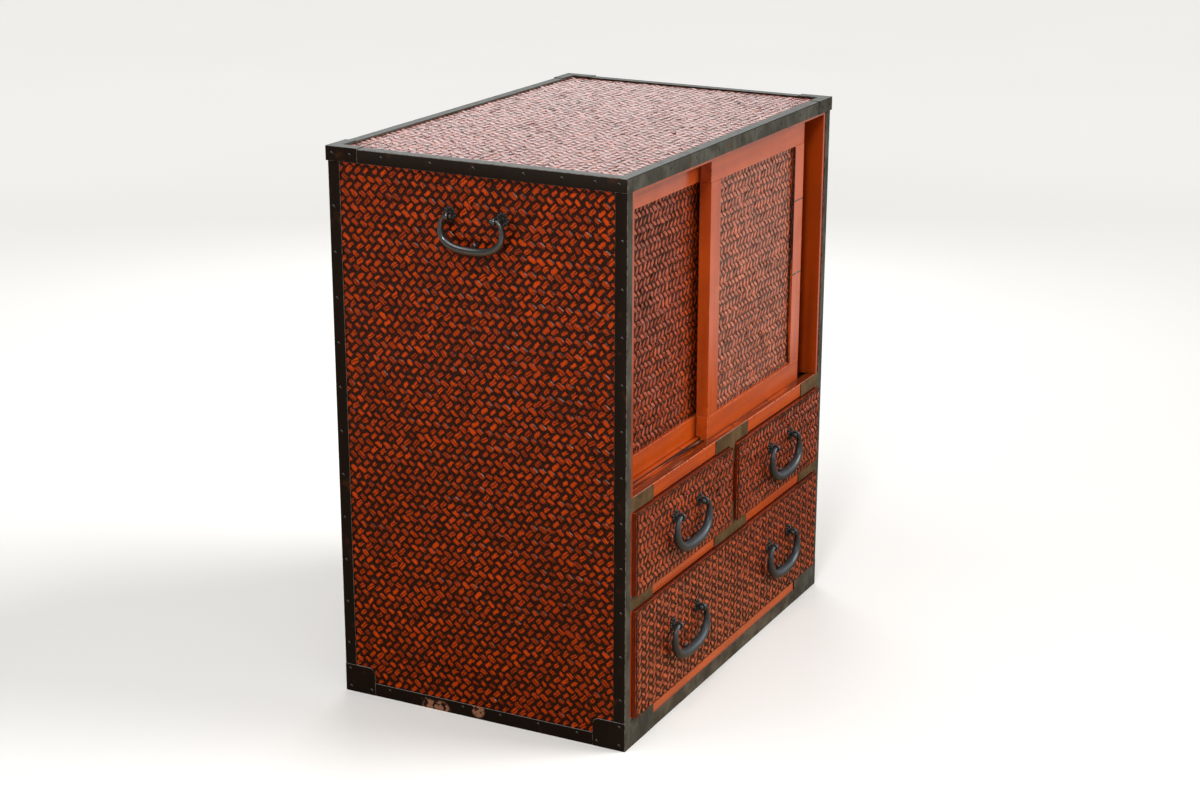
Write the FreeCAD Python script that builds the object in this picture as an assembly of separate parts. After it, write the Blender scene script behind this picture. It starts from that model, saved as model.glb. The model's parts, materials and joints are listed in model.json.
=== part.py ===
import FreeCAD, Part
import math
import os

# Isho clothing chest: a wooden case skinned with woven bamboo and bound with iron straps.
# Two framed doors slide in tracks above, two small drawers and one wide drawer sit below.
# Millimetres. Z is up, the doors and drawers face -Y, and X runs from left to right.
# The origin is on the floor, under the middle of the whole chest with its handles.

Vector = FreeCAD.Vector
ORIGIN = Vector(0, 0, 0)
ALONG_X = Vector(1, 0, 0)
ALONG_Y = Vector(0, 1, 0)
ALONG_Z = Vector(0, 0, 1)

# Case boards
case_width = 647.2
case_depth = 421.6
side_board = 18.0
top_board = 18.0
back_board = 9.0
bottom_board = 12.0
compartment_board = 12.0
shelf_board = 9.0
woven_skin = 1.6
housing = 5.0
rail_tenon = 9.0
tenon_shoulder = 4.5
edge_round = 1.0

# Heights of the front, from the floor up
base_rail_height = 39.5
lower_opening = 150.0
rail_height = 19.0
small_opening = 114.0
door_opening = 386.5
rail_depth = 24.0

# Door tracks, cut in the sill rail and in the underside of the top board
track_lip = 14.0
track_groove = 11.5
track_ridge = 12.0
track_rear = 8.0
sill_groove_depth = 3.7
head_groove_depth = 8.7

# Sliding doors
door_overlap = 28.0
door_thickness = 16.5
door_end_gap = 0.4
right_door_open = 36.0
tongue_gap = 0.4
slide_gap = 0.3
shoulder_gap = 1.2
head_tongue = 4.2
stile_width = 31.0
stile_tenon = 16.0
stile_tenon_inset = 6.0
top_rail_show = 36.0
bottom_rail_show = 30.3
opening_round = 3.0
panel_recess = 5.5
panel_board = 4.0
panel_seat = 4.5
panel_end_gap = 0.5
door_skin = 1.6

# Drawers
drawer_proud = 7.5
drawer_front = 16.4
drawer_side = 9.0
drawer_back = 9.0
drawer_bottom = 6.0
drawer_skin = 1.6
drawer_side_gap = 0.6
drawer_top_gap = 1.6
drawer_rebate = 8.0
handle_rise = 17.0
lower_handle_spacing = 319.0

# Iron edge straps, corner caps, corner shoes and rail plates
top_strap = 2.2
top_strap_face = 18.0
top_strap_lap = 15.0
corner_cap = 1.0
cap_arm = 47.0
upright_strap = 1.2
upright_side_width = 17.0
upright_front_width = 14.0
bottom_strap = 1.2
bottom_strap_side_height = 18.0
bottom_strap_front_height = 20.0
corner_shoe = 1.6
shoe_side_arm = 47.0
shoe_front_arm = 84.0
shoe_round = 9.0
rail_plate = 1.2
end_plate_length = 65.0
tee_plate_length = 107.0
tee_stem_length = 28.0
bend_share = 0.6

# Drawer handles
drawer_post_spacing = 74.0
drawer_eye_lean = 1.2
drawer_bail_half_width = 49.5
drawer_bail_drop = 47.0
drawer_bail_bar = 13.3
drawer_bail_end = 6.0
drawer_eye_height = 9.0
drawer_rest_height = 10.5
drawer_stud_rise = 2.8

# Carrying handles on the two sides
side_post_spacing = 75.0
side_eye_lean = 4.0
side_bail_half_width = 44.0
side_bail_drop = 41.2
side_bail_bar = 10.6
side_bail_end = 5.2
side_eye_height = 13.0
side_rest_height = 13.0
side_stud_rise = 5.5
side_handle_below_top = 66.6
side_handle_forward = 2.5

# Handle fittings that all the handles share
eye_clearance = 0.3
eye_wall = 2.4
eye_thickness = 4.0
shank_width = 5.0
shank_gap = 0.2
clinch_length = 8.0
clinch_thickness = 1.6
petal_count = 12
petal_radius = 10.0
petal_edge_shares = (0.86, 0.98, 0.98)
rosette_thickness = 1.6
stud_radius = 3.8
stud_crown_share = 0.4
stud_shank = 2.4
stud_depth = 12.0
stud_gap = 0.3
bail_tip = 4.4
tip_round_share = 0.4
shoulder_share = 0.36
bow_square_share = 0.8
elbow_steps = 3
bow_steps = 5
bar_sides = 12
eye_sides = 12
stud_sides = 12

# One overrun for every cutting tool, and the step below which two places are the same
overrun = 2.0
same_place = case_width / 1e7

# Levels
lower_floor = base_rail_height
lower_ceiling = lower_floor + lower_opening
small_floor = lower_ceiling + rail_height
small_ceiling = small_floor + small_opening
sill_top = small_ceiling + rail_height
head = sill_top + door_opening
board_top = head + top_board
skin_top = board_top + woven_skin
strap_top = skin_top + top_strap
strap_foot = strap_top - top_strap_face

# Widths, measured each way from the middle
skin_side = case_width / 2
side_outer = skin_side - woven_skin
side_inner = side_outer - side_board
strap_side = skin_side + top_strap
upright_edge = skin_side + upright_strap - upright_front_width
divider_side = rail_height / 2
small_middle = (side_inner + divider_side) / 2

# Depths: the chest is centred between its rear corner caps and the bow of its drawer handles
front_reach = drawer_proud + drawer_rest_height + drawer_bail_bar / 2
rear_reach = top_strap + corner_cap
case_front = (front_reach - case_depth - rear_reach) / 2
case_back = case_front + case_depth
case_middle = (case_front + case_back) / 2
back_face = case_back - back_board
drawer_face = case_front - drawer_proud
drawer_wall = drawer_skin + drawer_front
drawer_end = back_face - slide_gap
rail_back = case_front + rail_depth
front_groove = case_front + track_lip
rear_groove = front_groove + track_groove + track_ridge
sill_back = rear_groove + track_groove + track_rear

# Doors: each has a tongue on its outer side, and a rebate over the ridge between the tracks
door_width = side_inner - door_end_gap + door_overlap / 2
door_foot = sill_top - sill_groove_depth + slide_gap
door_shoulder = sill_top + shoulder_gap
lift_room = head_groove_depth - head_tongue
tongue = track_groove - 2 * tongue_gap
panel_foot = sill_top + bottom_rail_show
panel_head = head - top_rail_show
panel = door_skin + panel_board
front_door_face = front_groove + tongue_gap
rear_door_face = rear_groove + track_groove - tongue_gap - door_thickness

drawer_handle = {
    "spacing": drawer_post_spacing,
    "lean": drawer_eye_lean,
    "half_width": drawer_bail_half_width,
    "drop": drawer_bail_drop,
    "bar": drawer_bail_bar / 2,
    "end": drawer_bail_end / 2,
    "eye": drawer_eye_height,
    "rest": drawer_rest_height,
    "rise": drawer_stud_rise,
    "wall": drawer_wall,
}
side_handle = {
    "spacing": side_post_spacing,
    "lean": side_eye_lean,
    "half_width": side_bail_half_width,
    "drop": side_bail_drop,
    "bar": side_bail_bar / 2,
    "end": side_bail_end / 2,
    "eye": side_eye_height,
    "rest": side_rest_height,
    "rise": side_stud_rise,
    "wall": side_board + woven_skin,
}


def box(x, y, z):
    """A block between the two values of each pair, given in either order."""
    low = Vector(min(x), min(y), min(z))
    return Part.makeBox(max(x) - low.x, max(y) - low.y, max(z) - low.z, low)


def polygon(points):
    """The closed outline through some points."""
    return Part.makePolygon(points + points[:1])


def plan_prism(points, low, high):
    """An upright prism on the points of a plan."""
    corners = [Vector(x, y, low) for x, y in points]
    return Part.Face(polygon(corners)).extrude(Vector(0, 0, high - low))


def fused(shapes):
    """The shapes joined into one, without the seams between their flat faces."""
    return shapes[0].multiFuse(shapes[1:]).removeSplitter()


def edges(shape, direction, chosen):
    """The edges that run along a direction and whose middle point passes the test."""
    found = []
    for edge in shape.Edges:
        start = edge.firstVertex().Point
        end = edge.lastVertex().Point
        if end.sub(start).cross(direction).isEqual(ORIGIN, same_place) and chosen((start + end) / 2):
            found.append(edge)
    return found


def at(value, target):
    """True where a coordinate lies on a plane."""
    return abs(value - target) < same_place


def placed(shape, x, y, z, turn=0):
    """A handle piece, made at the origin and facing -Y, turned about Z and put in its place."""
    piece = shape.copy()
    piece.rotate(ORIGIN, ALONG_Z, turn)
    piece.translate(Vector(x, y, z))
    return piece


def save(name, solids):
    """Write one node: a single solid, or alike solids side by side."""
    shape = solids[0] if len(solids) == 1 else Part.makeCompound(solids)
    shape.exportStep(os.path.join("parts", name + ".step"))


# Handles


def forged_rod(radius, length, start, direction, sides):
    """A round rod with flat facets, as it comes from the hammer: radius is to its corners."""
    up = ALONG_Z if direction.cross(ALONG_Z).Length > same_place else ALONG_X
    across = direction.cross(up)
    corners = []
    for side in range(sides):
        turn = 2 * math.pi * (side + 1 / 2) / sides
        corners.append(start + (across * math.cos(turn) + up * math.sin(turn)) * radius)
    return Part.Face(polygon(corners)).extrude(direction * length)


def ring(handle, way, out, drop, heading, radius):
    """The corners of one section of a bail: out and drop are on its centreline, heading is (out, down)."""
    tilt = (handle["rest"] - handle["eye"]) / handle["drop"]
    centre = Vector(way * out, -handle["eye"] - tilt * drop, -drop)
    outwards = Vector(0, -1, tilt).normalize()
    along = Vector(way * heading[0], -tilt * heading[1], -heading[1]).normalize()
    across = outwards.cross(along)
    if way > 0:
        across = -across
    corners = []
    for side in range(bar_sides):
        turn = 2 * math.pi * (side + 1 / 2) / bar_sides
        corners.append(centre + (outwards * math.cos(turn) + across * math.sin(turn)) * radius)
    return corners


def half_bail(handle, way):
    """The sections of half a bail, from its tip inside the eye down to the middle of the bow."""
    end = handle["end"]
    swell = (handle["bar"] - end) / handle["drop"]
    eye = handle["spacing"] / 2 - handle["lean"]
    pin = eye + eye_thickness / 2
    tip = eye - eye_thickness / 2 - bail_tip
    level = (1, 0)
    sections = [ring(handle, way, tip, 0, level, end * (1 - tip_round_share))]
    sections.append(ring(handle, way, tip + end * tip_round_share, 0, level, end))
    elbow = handle["half_width"] - pin
    shoulder = handle["drop"] * shoulder_share
    for step in range(elbow_steps):
        turn = math.radians(90 * step / elbow_steps)
        out = pin + elbow * math.sin(turn)
        drop = shoulder * (1 - math.cos(turn))
        heading = (math.cos(turn) / shoulder, math.sin(turn) / elbow)
        sections.append(ring(handle, way, out, drop, heading, end + swell * drop))
    bow = handle["drop"] - shoulder
    for step in range(bow_steps + 1):
        turn = math.radians(90 * step / bow_steps)
        across = max(math.cos(turn), 0)
        down = math.sin(turn)
        out = handle["half_width"] * across ** bow_square_share
        drop = shoulder + bow * down ** bow_square_share
        slope = 2 - bow_square_share
        heading = (-(down ** slope) / bow, across ** slope / handle["half_width"])
        sections.append(ring(handle, way, out, drop, heading, end + swell * drop))
    return sections


def make_bail(handle):
    """The swinging handle: a forged bar that thins from its bow to the pins in the two eyes."""
    left = half_bail(handle, -1)
    right = half_bail(handle, 1)
    right.pop()
    right.reverse()
    sections = left + right
    outlines = [sections[0], sections[-1]]
    for near, far in zip(sections, sections[1:]):
        for side in range(bar_sides):
            following = (side + 1) % bar_sides
            outlines.append([near[side], near[following], far[following]])
            outlines.append([near[side], far[following], far[side]])
    shell = Part.makeShell([Part.Face(polygon(outline)) for outline in outlines])
    shell.sewShape()
    bar = Part.makeSolid(shell)
    return bar if bar.Volume > 0 else bar.reversed()


def make_eye_post(handle, way):
    """A split pin: an eye on a leaning neck, a shank through the board, and two legs bent back inside."""
    x = way * handle["spacing"] / 2
    leant = x - way * handle["lean"]
    side = eye_thickness / 2
    hole = (handle["end"] + eye_clearance) / math.cos(math.pi / eye_sides)
    outer = hole + eye_wall
    reach = handle["wall"] + clinch_thickness
    half = shank_width / 2
    axis = -handle["eye"]
    bend = axis + outer * math.cos(math.pi / eye_sides)
    eye = Vector(leant - side, axis, 0)
    head_disc = forged_rod(outer, eye_thickness, eye, ALONG_X, eye_sides)
    plan = [(x + side, -rosette_thickness), (x - side, -rosette_thickness)]
    plan += [(leant - side, bend), (leant - side, axis), (leant + side, axis), (leant + side, bend)]
    neck = plan_prism(plan, -half, half)
    shank = box((x - side, x + side), (-rosette_thickness, reach), (-half, half))
    legs = box((x - side, x + side), (handle["wall"], reach), (-half - clinch_length, half + clinch_length))
    start = eye - Vector(overrun, 0, 0)
    bore = forged_rod(hole, eye_thickness + 2 * overrun, start, ALONG_X, eye_sides)
    return fused([head_disc, neck, shank, legs]).cut(bore)


def make_rosette(x):
    """A chrysanthemum washer with cut petals, pierced for the shank."""
    outline = []
    steps = len(petal_edge_shares)
    for petal in range(petal_count):
        for place, share in enumerate(petal_edge_shares):
            turn = 2 * math.pi * (petal + place / steps) / petal_count
            radius = petal_radius * share
            outline.append(Vector(x + radius * math.cos(turn), 0, radius * math.sin(turn)))
    disc = Part.Face(polygon(outline)).extrude(Vector(0, -rosette_thickness, 0))
    return disc.cut(shank_bore(x, rosette_thickness, overrun))


def shank_bore(x, front, back):
    """The square hole for an eye post's shank."""
    half_x = eye_thickness / 2 + shank_gap
    half_z = shank_width / 2 + shank_gap
    return box((x - half_x, x + half_x), (-front - overrun, back), (-half_z, half_z))


def make_stud(handle):
    """The round-headed stud that shows just above the bow of the bail, and its square nail in the board."""
    height = handle["rest"] - handle["bar"] - stud_gap
    crown = stud_radius * stud_crown_share
    foot = Vector(0, 0, handle["rise"] - handle["drop"])
    post = forged_rod(stud_radius, height, foot, -ALONG_Y, stud_sides)
    rim = [edge for edge in post.Edges if all(at(vertex.Y, -height) for vertex in edge.Vertexes)]
    post = post.makeChamfer(crown, rim)
    half = stud_shank / 2
    nail = box((-half, half), (0, stud_depth), (foot.z - half, foot.z + half))
    return fused([post, nail])


def make_wall_bores(handle):
    """What the handle's shanks and stud cut from the wall that carries them."""
    half = handle["spacing"] / 2
    through = handle["wall"] + overrun
    nail = stud_shank / 2 + shank_gap
    level = handle["rise"] - handle["drop"]
    nail_hole = box((-nail, nail), (-overrun, stud_depth + shank_gap), (level - nail, level + nail))
    return [shank_bore(-half, 0, through), shank_bore(half, 0, through), nail_hole]


def fit_handle(handle, x, y, z, turn=0):
    """All the pieces of one handle in its place, and the bores for them."""
    half = handle["spacing"] / 2
    made = {
        "eye_posts": [make_eye_post(handle, -1), make_eye_post(handle, 1)],
        "rosettes": [make_rosette(-half), make_rosette(half)],
        "rest_studs": [make_stud(handle)],
        "bail": [make_bail(handle)],
        "bores": make_wall_bores(handle),
    }
    return {kind: [placed(piece, x, y, z, turn) for piece in pieces] for kind, pieces in made.items()}


# Case


def tenons(foot, top, back):
    """The stub tenons at the two ends of a rail."""
    depth = (case_front + tenon_shoulder, back - tenon_shoulder)
    height = (foot + tenon_shoulder, top - tenon_shoulder)
    return [box((way * side_inner, way * (side_inner + rail_tenon)), depth, height) for way in (-1, 1)]


def make_rail(foot, top, back):
    """A rail across the front of the case, let into both side boards."""
    rail = fused([box((-side_inner, side_inner), (case_front, back), (foot, top))] + tenons(foot, top, back))
    arris = edges(rail, ALONG_X, lambda middle: at(middle.y, case_front))
    return rail.makeFillet(edge_round, arris)


def make_shelf(top, thickness, front):
    """A board behind a rail, housed in both side boards."""
    reach = side_inner + housing
    return box((-reach, reach), (front, back_face), (top - thickness, top))


def track_grooves(low, high):
    """The two door tracks, as the blocks that cut them."""
    across = (-side_inner, side_inner)
    return [box(across, (start, start + track_groove), (low, high)) for start in (front_groove, rear_groove)]


def make_sill():
    """The rail under the doors, with its lip, two tracks and the ridge between them."""
    sill = make_rail(small_ceiling, sill_top, sill_back)
    return sill.cut(track_grooves(sill_top - sill_groove_depth, sill_top + overrun))


def make_top_board():
    """The top board, which lies on the side boards and has deeper tracks underneath."""
    board = box((-side_outer, side_outer), (case_front, case_back), (head, board_top))
    return board.cut(track_grooves(head - overrun, head + head_groove_depth))


def make_partition():
    """The upright board between the small drawers: only its rear rises behind the sill."""
    board = box((-divider_side, divider_side), (case_front, back_face), (small_floor, small_ceiling))
    if sill_top - compartment_board > small_ceiling:
        riser = (small_ceiling, sill_top - compartment_board)
        board = fused([board, box((-divider_side, divider_side), (sill_back, back_face), riser)])
    return board


def make_side_board(way, cuts):
    """A side board with its mortises, housings and handle bores."""
    board = box((way * side_inner, way * side_outer), (case_front, case_back), (0, head))
    return board.cut(cuts)


def make_side_skin(way, bores):
    """The woven sheet over a side board and the end of the top board."""
    sheet = box((way * side_outer, way * skin_side), (case_front, case_back), (0, board_top))
    return sheet.cut(bores)


def build_case():
    handles = {}
    handle_y = case_middle - side_handle_forward
    handle_z = skin_top - side_handle_below_top
    for way in (-1, 1):
        handles[way] = fit_handle(side_handle, way * skin_side, handle_y, handle_z, way * 90)
    rails = {
        "sill_rail": make_sill(),
        "mid_rail": make_rail(lower_ceiling, small_floor, rail_back),
        "bottom_rail": make_rail(0, lower_floor, rail_back),
    }
    shelves = {
        "compartment_floor": make_shelf(sill_top, compartment_board, sill_back),
        "drawer_shelf": make_shelf(small_floor, shelf_board, rail_back),
        "bottom_board": make_shelf(lower_floor, bottom_board, rail_back),
    }
    joints = tenons(small_ceiling, sill_top, sill_back)
    joints += tenons(lower_ceiling, small_floor, rail_back)
    joints += tenons(0, lower_floor, rail_back)
    joints += list(shelves.values())
    for name, way in (("left", -1), ("right", 1)):
        save("side_board_" + name, [make_side_board(way, joints + handles[way]["bores"])])
        save("woven_skin_" + name, [make_side_skin(way, handles[way]["bores"])])
        save(name + "_carrying_bail", handles[way]["bail"])
    for name, shape in {**rails, **shelves}.items():
        save(name, [shape])
    save("top_board", [make_top_board()])
    save("back_board", [box((-side_inner, side_inner), (back_face, case_back), (0, head))])
    save("drawer_partition", [make_partition()])
    lid = box((-skin_side, skin_side), (case_front, case_back), (board_top, skin_top))
    save("woven_skin_top", [lid])
    for kind in ("eye_posts", "rosettes", "rest_studs"):
        save("side_" + kind, handles[-1][kind] + handles[1][kind])


# Ironwork


def top_strap_frame():
    """The whole angle-shaped band round the top edge, before it is parted at three corners."""
    front = case_front - top_strap
    back = case_back + top_strap
    band = box((-strap_side, strap_side), (front, back), (strap_foot, strap_top))
    bends = edges(band, ALONG_X, lambda middle: at(middle.z, strap_top))
    bends += edges(band, ALONG_Y, lambda middle: at(middle.z, strap_top))
    bends += edges(band, ALONG_Z, lambda middle: True)
    band = band.makeFillet(top_strap * bend_share, bends)
    window_x = strap_side - top_strap_lap
    window_y = (front + top_strap_lap, back - top_strap_lap)
    window = box((-window_x, window_x), window_y, (head, strap_top + overrun))
    case = box((-skin_side, skin_side), (case_front, case_back), (0, skin_top))
    return band.cut([window, case])


def make_top_straps():
    """Three straps: one bends round the front left corner, the others butt it and each other in mitres."""
    front = case_front - top_strap
    back = case_back + top_strap
    deep = top_strap_lap + overrun
    left = -strap_side
    right = strap_side
    rear = [(left, back), (right, back), (right - deep, back - deep), (left + deep, back - deep)]
    flank = [(right, front), (right, back), (right - deep, back - deep), (right - deep, front + deep)]
    level = (strap_foot - overrun, strap_top + overrun)
    band = top_strap_frame()
    rear_strap = band.common(plan_prism(rear, *level))
    right_strap = band.common(plan_prism(flank, *level))
    long_strap = band.cut([plan_prism(rear, *level), plan_prism(flank, *level)])
    return [long_strap, rear_strap, right_strap]


def corner_point(way_x, way_y, stand):
    """The outer corner of iron that stands off the case, in plan."""
    edge = case_front - stand if way_y < 0 else case_back + stand
    return way_x * (skin_side + stand), edge


def angle_iron(way_x, way_y, stand, thickness, side_arm, face_arm, level):
    """Iron bent round an upright corner, with one arm on the side and one on the front or the back."""
    x, y = corner_point(way_x, way_y, stand + thickness)
    inner_x, inner_y = corner_point(way_x, way_y, stand)
    end_x = x - way_x * face_arm
    end_y = y - way_y * side_arm
    iron = box((x, end_x), (y, end_y), level)
    bend = edges(iron, ALONG_Z, lambda middle: at(middle.x, x) and at(middle.y, y))
    iron = iron.makeFillet(thickness * bend_share, bend)
    hollow_x = end_x - way_x * overrun
    hollow_y = end_y - way_y * overrun
    return iron.cut(box((inner_x, hollow_x), (inner_y, hollow_y), (level[0] - overrun, level[1] + overrun)))


def make_corner_cap(way_x, way_y):
    """A cap over the end of two top straps: two cheeks and an L-shaped top."""
    roof = strap_top + corner_cap
    cheeks = angle_iron(way_x, way_y, top_strap, corner_cap, cap_arm, cap_arm, (strap_foot, roof))
    x, y = corner_point(way_x, way_y, top_strap + corner_cap)
    lap = top_strap_lap + corner_cap
    span = (x - way_x * cap_arm, y - way_y * cap_arm)
    plan = box((x, span[0]), (y, span[1]), (strap_top, roof))
    bend = edges(plan, ALONG_Z, lambda middle: at(middle.x, x) and at(middle.y, y))
    plan = plan.makeFillet(corner_cap * bend_share, bend)
    notch_x = (x - way_x * lap, span[0] - way_x * overrun)
    notch_y = (y - way_y * lap, span[1] - way_y * overrun)
    notch = box(notch_x, notch_y, (strap_top - overrun, roof + overrun))
    return fused([cheeks, plan.cut(notch)])


def make_corner_shoe(way_x, way_y):
    """A shoe on a lower corner: its side arm is rounded, its front arm covers the rail's end."""
    face_arm = shoe_front_arm if way_y < 0 else shoe_side_arm
    shoe = angle_iron(way_x, way_y, 0, corner_shoe, shoe_side_arm, face_arm, (0, base_rail_height))
    end = corner_point(way_x, way_y, corner_shoe)[1] - way_y * shoe_side_arm
    corner = edges(shoe, ALONG_X, lambda middle: at(middle.y, end) and at(middle.z, base_rail_height))
    return shoe.makeFillet(shoe_round, corner)


def make_upright(way_x, way_y):
    """The angle strap up a corner, from the shoe to the top strap."""
    level = (base_rail_height, strap_foot)
    return angle_iron(way_x, way_y, 0, upright_strap, upright_side_width, upright_front_width, level)


def make_bottom_straps():
    """The straps along the foot of the case, between the shoes."""
    inner_front = corner_point(1, -1, corner_shoe)[1] + shoe_side_arm
    inner_back = corner_point(1, 1, corner_shoe)[1] - shoe_side_arm
    front_end = skin_side + corner_shoe - shoe_front_arm
    back_end = skin_side + corner_shoe - shoe_side_arm
    side_level = (0, bottom_strap_side_height)
    front_level = (0, bottom_strap_front_height)
    outer = skin_side + bottom_strap
    straps = [box((way * skin_side, way * outer), (inner_front, inner_back), side_level) for way in (-1, 1)]
    straps.append(box((-front_end, front_end), (case_front - bottom_strap, case_front), front_level))
    straps.append(box((-back_end, back_end), (case_back, case_back + bottom_strap), side_level))
    return straps


def make_end_plate(way, foot):
    """The plate over the joint of a rail and a side board, from the upright strap inwards."""
    width = (way * upright_edge, way * (upright_edge - end_plate_length))
    return box(width, (case_front - rail_plate, case_front), (foot, foot + rail_height))


def make_tee_plate(foot, stem_way):
    """The plate over the joint of a rail and the partition, with a stem along the partition."""
    depth = (case_front - rail_plate, case_front)
    bar = box((-tee_plate_length / 2, tee_plate_length / 2), depth, (foot, foot + rail_height))
    root = foot if stem_way < 0 else foot + rail_height
    stem = box((-divider_side, divider_side), depth, (root, root + stem_way * tee_stem_length))
    return fused([bar, stem])


def build_ironwork():
    corners = [(-1, -1), (1, -1), (-1, 1), (1, 1)]
    save("top_straps", make_top_straps())
    save("top_corner_caps", [make_corner_cap(*corner) for corner in corners[1:]])
    save("upright_straps", [make_upright(*corner) for corner in corners])
    save("bottom_straps", make_bottom_straps())
    save("corner_shoes", [make_corner_shoe(*corner) for corner in corners])
    feet = (small_ceiling, lower_ceiling)
    save("rail_end_plates", [make_end_plate(way, foot) for way in (-1, 1) for foot in feet])
    save("rail_tee_plates", [make_tee_plate(small_ceiling, -1), make_tee_plate(lower_ceiling, 1)])


# Doors


def build_door(name, left, face, tongue_face):
    """A frame of two rails and two stiles round a thin board with a woven face."""
    right = left + door_width
    back = face + door_thickness
    inner = (left + stile_width, right - stile_width)
    frame = box((left, right), (face, back), (door_shoulder, head - lift_room - slide_gap))
    tongues = box((left, right), (tongue_face, tongue_face + tongue), (door_foot, head + head_tongue))
    opening = box(inner, (face - overrun, back + overrun), (panel_foot, panel_head))
    opening = opening.makeFillet(opening_round, edges(opening, ALONG_Y, lambda middle: True))
    panel_face = face + panel_recess
    seat = panel_seat + panel_end_gap
    groove_z = (panel_foot - seat, panel_head + seat)
    groove = box((inner[0] - seat, inner[1] + seat), (panel_face, panel_face + panel), groove_z)
    frame = fused([frame, tongues]).cut([opening, groove])

    tenon_z = (panel_foot - stile_tenon, panel_head + stile_tenon)
    tenon_y = (panel_face, panel_face + panel)
    tenon_blocks = []
    for outer, way in ((left, 1), (right, -1)):
        tenon_x = (outer + way * stile_tenon_inset, outer + way * (stile_width - seat))
        tenon_blocks.append(box(tenon_x, tenon_y, tenon_z))
    middle = box((left, right), (face - overrun, back + overrun), (panel_foot, panel_head))
    rails = frame.cut([middle] + tenon_blocks)
    stiles = []
    middles = sorted(frame.common(middle).Solids, key=lambda piece: piece.CenterOfMass.x)
    for piece, tenon_block in zip(middles, tenon_blocks):
        stiles.append(fused([piece, tenon_block]))

    board_x = (inner[0] - panel_seat, inner[1] + panel_seat)
    board_z = (panel_foot - panel_seat, panel_head + panel_seat)
    save(name + "_rails", rails.Solids)
    save(name + "_stiles", stiles)
    save(name + "_weave", [box(board_x, (panel_face, panel_face + door_skin), board_z)])
    save(name + "_board", [box(board_x, (panel_face + door_skin, panel_face + panel), board_z)])


def build_doors():
    """The right door runs in the front track and stands a little open, the left one runs behind it."""
    left_end = -side_inner + door_end_gap
    right_start = side_inner - right_door_open - door_width
    build_door("left_door", left_end, rear_door_face, rear_door_face + door_thickness - tongue)
    build_door("right_door", right_start, front_door_face, front_door_face)


# Drawers


def build_drawer(name, left, right, floor, ceiling, handle_places):
    """A drawer whose woven front stands proud of the case, with a handle at each place along X."""
    x = (left + drawer_side_gap, right - drawer_side_gap)
    z = (floor + slide_gap, ceiling - drawer_top_gap)
    face = drawer_face + drawer_skin
    front_back = drawer_face + drawer_wall
    run = (front_back - drawer_rebate, drawer_end)
    wall_z = (z[0] + drawer_bottom, z[1])
    bottom = box(x, run, (z[0], wall_z[0]))
    left_side = box((x[0], x[0] + drawer_side), run, wall_z)
    right_side = box((x[1] - drawer_side, x[1]), run, wall_z)
    back = box((x[0] + drawer_side, x[1] - drawer_side), (drawer_end - drawer_back, drawer_end), wall_z)

    handle_z = (z[0] + z[1]) / 2 + handle_rise
    handles = [fit_handle(drawer_handle, place, drawer_face, handle_z) for place in handle_places]
    bores = [bore for handle in handles for bore in handle["bores"]]
    front = box(x, (face, front_back), z).cut([bottom, left_side, right_side] + bores)
    weave = box(x, (drawer_face, face), z).cut(bores)
    save(name + "_front", [front])
    save(name + "_weave", [weave])
    save(name + "_walls", [left_side, right_side, back])
    save(name + "_bottom", [bottom])
    for kind in ("eye_posts", "rosettes", "rest_studs"):
        save(name + "_" + kind, [piece for handle in handles for piece in handle[kind]])
    bail_names = [name + "_bail"] if len(handles) == 1 else [name + "_left_bail", name + "_right_bail"]
    for bail_name, handle in zip(bail_names, handles):
        save(bail_name, handle["bail"])


def build_drawers():
    places = [-lower_handle_spacing / 2, lower_handle_spacing / 2]
    build_drawer("left_drawer", -side_inner, -divider_side, small_floor, small_ceiling, [-small_middle])
    build_drawer("right_drawer", divider_side, side_inner, small_floor, small_ceiling, [small_middle])
    build_drawer("lower_drawer", -side_inner, side_inner, lower_floor, lower_ceiling, places)


os.makedirs("parts", exist_ok=True)
build_case()
build_ironwork()
build_doors()
build_drawers()
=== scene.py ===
# %% [markdown]
# # A clothing chest of woven bamboo, red lacquer and iron
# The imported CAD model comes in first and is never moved: it is the frame that every visible
# piece is made around. Where a CAD solid is already the right shape it only gets a finish.
# Where the real surface is finer, a new mesh stands for the solid and rides on the same body.

# %% Load the frame
import json
import math
import bmesh
import bpy
import numpy as np
from mathutils import Matrix, Vector, noise

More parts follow.
